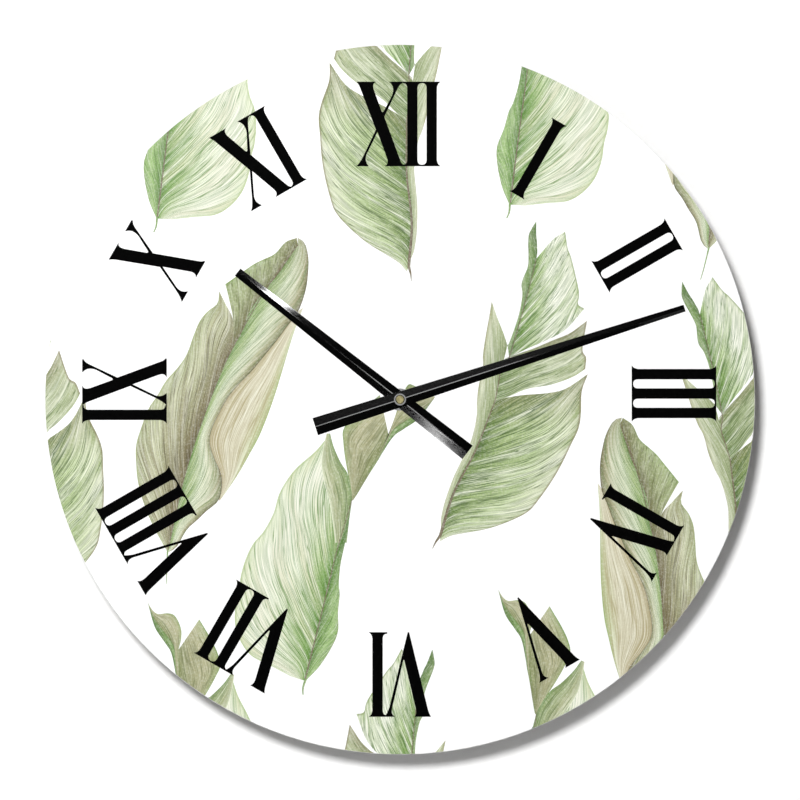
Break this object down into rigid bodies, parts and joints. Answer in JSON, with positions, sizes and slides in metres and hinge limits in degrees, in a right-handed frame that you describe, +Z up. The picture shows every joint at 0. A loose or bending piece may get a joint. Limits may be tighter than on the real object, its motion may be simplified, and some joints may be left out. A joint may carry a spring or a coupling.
{
  "type": "wall clock",
  "caption": "Round frameless wall clock: leaf-printed disc dial with Roman numerals, two tapered black hands and a battery quartz movement with its gear train behind.",
  "frame": {"origin": "centre of the hand shaft on the movement's back face, which is the wall plane", "axes": "+Z up, +X to the right as seen from the room, +Y into the wall; the dial faces -Y"},
  "size_m": [0.4063, 0.0339, 0.4064],
  "materials": {
    "dial_board": "MDF, white coated face, satin",
    "leaf_print": "printed green and taupe leaf film",
    "numeral_print": "black print",
    "black_abs": "moulded ABS, fine spark texture",
    "hand_lacquer": "stamped aluminium, gloss black lacquer",
    "brass": "turned",
    "zinc_steel": "zinc plated sheet",
    "arbor_steel": "ground",
    "nickel_strip": "nickel plated spring steel",
    "gasket_rubber": "matt",
    "white_acetal": "moulded",
    "ferrite": "sintered",
    "stator_iron": "punched sheet",
    "copper_wire": "enamelled wire",
    "board_laminate": "phenolic laminate",
    "epoxy": "cast resin",
    "battery_sleeve": "plain printed sleeve"
  },
  "bodies": {
    "clock_body": {"dial_panel": "dial_board", "movement_case": "black_abs", "rear_cover": "black_abs", "train_bridge": "white_acetal", "threaded_bushing": "brass", "hanger_plate": "zinc_steel", "rubber_gasket": "gasket_rubber", "dial_washer": "brass", "dial_nut": "brass", "stator": "stator_iron", "coil_core": "stator_iron", "coil_bobbin": "white_acetal", "coil_winding": "copper_wire", "circuit_board": "board_laminate", "timing_chip": "epoxy", "quartz_crystal": "nickel_strip", "battery_contact_positive": "nickel_strip", "battery_contact_negative": "nickel_strip", "aa_battery": "battery_sleeve"},
    "minute_hand_set": {"minute_arbor": "brass", "clutch_spring": "nickel_strip", "minute_hand": "hand_lacquer", "hand_nut": "brass"},
    "hour_hand_set": {"hour_wheel": "white_acetal", "hour_hand": "hand_lacquer", "hour_hand_collet": "brass"},
    "minute_wheel_set": {"minute_wheel": "white_acetal"},
    "setting_knob_set": {"setting_knob": "white_acetal"},
    "rotor": {"rotor_pinion": "white_acetal", "rotor_magnet": "ferrite"},
    "fifth_wheel_set": {"fifth_wheel": "white_acetal"},
    "seconds_wheel_set": {"seconds_wheel": "white_acetal", "seconds_arbor": "arbor_steel"},
    "third_wheel_set": {"third_wheel": "white_acetal"},
    "centre_wheel_set": {"centre_wheel": "white_acetal"}
  },
  "joints": [
    {"name": "minute_hand_turn", "type": "hinge", "parent": "clock_body", "child": "minute_hand_set", "pos_m": [0, -0.012, 0], "axis": [0, 1, 0], "continuous": true},
    {"name": "hour_hand_turn", "type": "hinge", "parent": "clock_body", "child": "hour_hand_set", "pos_m": [0, -0.012, 0], "axis": [0, 1, 0], "continuous": true},
    {"name": "minute_wheel_turn", "type": "hinge", "parent": "clock_body", "child": "minute_wheel_set", "pos_m": [0, -0.012, 0.0072], "axis": [0, 1, 0], "continuous": true},
    {"name": "setting_knob_turn", "type": "hinge", "parent": "clock_body", "child": "setting_knob_set", "pos_m": [0, -0.012, 0.0144], "axis": [0, 1, 0], "continuous": true},
    {"name": "rotor_turn", "type": "hinge", "parent": "clock_body", "child": "rotor", "pos_m": [-0.01348, -0.012, 0.00848], "axis": [0, 1, 0], "continuous": true},
    {"name": "fifth_wheel_turn", "type": "hinge", "parent": "clock_body", "child": "fifth_wheel_set", "pos_m": [-0.00719, -0.012, 0.00499], "axis": [0, 1, 0], "continuous": true},
    {"name": "seconds_wheel_turn", "type": "hinge", "parent": "clock_body", "child": "seconds_wheel_set", "pos_m": [0, -0.012, 0], "axis": [0, 1, 0], "continuous": true},
    {"name": "third_wheel_turn", "type": "hinge", "parent": "clock_body", "child": "third_wheel_set", "pos_m": [0.00701, -0.012, 0.0048], "axis": [0, 1, 0], "continuous": true},
    {"name": "centre_wheel_turn", "type": "hinge", "parent": "clock_body", "child": "centre_wheel_set", "pos_m": [0, -0.012, 0], "axis": [0, 1, 0], "continuous": true}
  ],
  "couplings": [
    {"joint": "minute_wheel_turn", "follows": "minute_hand_turn", "ratio": -0.33333},
    {"joint": "hour_hand_turn", "follows": "minute_hand_turn", "ratio": 0.083333},
    {"joint": "setting_knob_turn", "follows": "minute_hand_turn", "ratio": 1},
    {"joint": "fifth_wheel_turn", "follows": "rotor_turn", "ratio": -0.2},
    {"joint": "seconds_wheel_turn", "follows": "rotor_turn", "ratio": 0.033333},
    {"joint": "third_wheel_turn", "follows": "rotor_turn", "ratio": -0.0044444},
    {"joint": "centre_wheel_turn", "follows": "rotor_turn", "ratio": 0.00055556}
  ]
}
